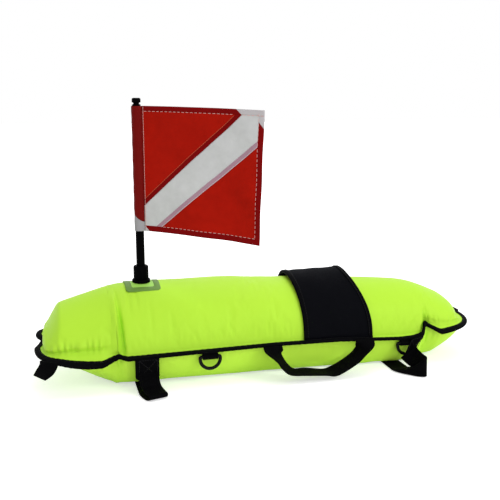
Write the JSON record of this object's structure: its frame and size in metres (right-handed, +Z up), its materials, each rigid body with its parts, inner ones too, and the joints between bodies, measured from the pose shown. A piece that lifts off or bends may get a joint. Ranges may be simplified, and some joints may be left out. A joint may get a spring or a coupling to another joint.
{
  "type": "inflatable dive float",
  "caption": "Long inflatable fabric-covered float with a flag on a pole, webbing straps, a carry handle, a hold-down band and tow rings.",
  "frame": {"origin": "point on the flat belly that the float rests on, below the middle of the hull's length and width", "axes": "+X along the hull from the blunt front end by the flag pole to the slimmer rear end, +Y to the far side, away from the carry handle, +Z up along the flag pole"},
  "size_m": [0.9, 0.2848, 0.5341],
  "materials": {
    "hull_fabric": "satin",
    "belly_fabric": "satin",
    "bladder_film": "smooth",
    "black_tape": "matte",
    "webbing": "matte",
    "neoprene": "satin",
    "black_plastic": "satin",
    "rubber": "matte",
    "patch_film": "satin",
    "flag_red": "satin",
    "flag_white": "satin",
    "ring_metal": "satin",
    "valve_plastic": "satin"
  },
  "bodies": {
    "hull": {"cover_upper": "hull_fabric", "cover_lower": "belly_fabric", "air_bladder": "bladder_film", "edge_binding": "black_tape", "hold_down_band": "neoprene", "band_edging_front": "black_tape", "band_edging_rear": "black_tape", "belly_strap_front": "webbing", "belly_strap_rear": "webbing", "strap_tab_front": "webbing", "strap_tab_rear": "webbing", "corner_loop_front": "webbing", "end_loop_rear": "webbing", "ring_tab_near_front": "webbing", "ring_tab_near_rear": "webbing", "ring_tab_far_front": "webbing", "ring_tab_far_rear": "webbing", "pole_patch": "patch_film", "socket_base": "black_plastic", "grip_ring": "rubber", "valve_base": "valve_plastic"},
    "collar": {"socket_collar": "black_plastic"},
    "pole": {"flag_pole": "black_plastic", "pole_plug": "black_plastic", "pole_cap": "black_plastic"},
    "flag": {"flag_sleeve": "flag_red", "flag_field_upper": "flag_red", "flag_stripe": "flag_white", "flag_field_lower": "flag_red"},
    "handle": {"carry_handle": "webbing"},
    "ring_near_front": {"tow_ring_near_front": "ring_metal"},
    "ring_near_rear": {"tow_ring_near_rear": "ring_metal"},
    "ring_far_front": {"tow_ring_far_front": "ring_metal"},
    "ring_far_rear": {"tow_ring_far_rear": "ring_metal"},
    "mouthpiece": {"valve_mouthpiece": "rubber"},
    "dust_cap": {"valve_cap": "valve_plastic"}
  },
  "joints": [
    {"name": "collar_turn", "type": "hinge", "parent": "hull", "child": "collar", "pos_m": [-0.24, 0, 0.18576], "axis": [0, 0, 1], "range_deg": [0, 180]},
    {"name": "pole_lift", "type": "slide", "parent": "hull", "child": "pole", "axis": [0, 0, 1], "range_m": [0, 0.032]},
    {"name": "flag_swivel", "type": "hinge", "parent": "pole", "child": "flag", "pos_m": [-0.24, 0, 0.28], "axis": [0, 0, 1], "continuous": true},
    {"name": "handle_swing", "type": "hinge", "parent": "hull", "child": "handle", "pos_m": [0.087, -0.11246, 0.06877], "axis": [-1, 0, 0], "range_deg": [0, 110]},
    {"name": "ring_near_front_swing", "type": "hinge", "parent": "hull", "child": "ring_near_front", "pos_m": [-0.127, -0.10418, 0.05707], "axis": [-1, 0, 0], "range_deg": [-20, 115]},
    {"name": "ring_near_rear_swing", "type": "hinge", "parent": "hull", "child": "ring_near_rear", "pos_m": [0.277, -0.10343, 0.04981], "axis": [-1, 0, 0], "range_deg": [-20, 5]},
    {"name": "ring_far_front_swing", "type": "hinge", "parent": "hull", "child": "ring_far_front", "pos_m": [-0.127, 0.10418, 0.05707], "axis": [1, 0, 0], "range_deg": [-20, 115]},
    {"name": "ring_far_rear_swing", "type": "hinge", "parent": "hull", "child": "ring_far_rear", "pos_m": [0.277, 0.10343, 0.04981], "axis": [1, 0, 0], "range_deg": [-12, 115]},
    {"name": "mouthpiece_push", "type": "slide", "parent": "hull", "child": "mouthpiece", "axis": [0, -0.8768, -0.4809], "range_m": [0, 0.0025], "stiffness_N_per_m": 300, "springref_m": -0.004},
    {"name": "dust_cap_pull", "type": "slide", "parent": "hull", "child": "dust_cap", "axis": [0, 0.8768, 0.4809], "range_m": [0, 0.02]}
  ]
}
